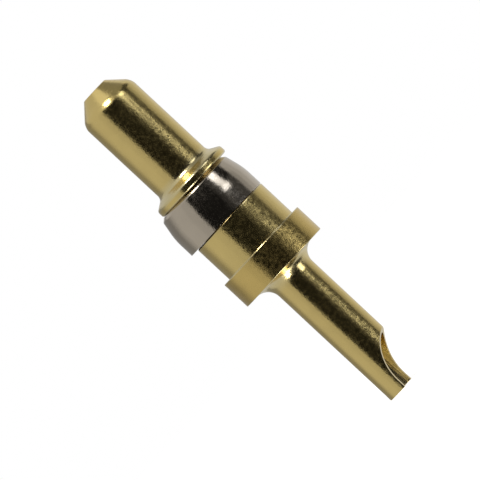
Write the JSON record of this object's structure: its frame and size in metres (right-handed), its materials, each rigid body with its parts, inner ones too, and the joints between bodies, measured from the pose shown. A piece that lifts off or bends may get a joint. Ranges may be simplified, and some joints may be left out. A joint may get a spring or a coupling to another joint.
{
  "type": "power contact pin",
  "caption": "Turned gold-plated power contact pin with a flange, a loose spring retaining clip, a seating collar and a side-milled solder cup for a stranded wire.",
  "frame": {"origin": "on the contact's axis, at the front face of the collar, which seats in the insulator", "axes": "+Z along the axis towards the mating tip, +X the side that the solder cup opens to"},
  "size_m": [0.0058, 0.0056, 0.0228],
  "materials": {
    "gold_plating": "satin gold plating over turned copper alloy, finely grained",
    "clip_metal": "bright nickel-plated spring sheet, faintly grained"
  },
  "bodies": {
    "contact": {"contact_body": "gold_plating"},
    "clip": {"retaining_clip": "clip_metal"}
  },
  "joints": [
    {"name": "clip_turn", "type": "hinge", "parent": "contact", "child": "clip", "pos_m": [-0.00022, 0, 0.00356], "axis": [0, 0, 1], "continuous": true}
  ]
}
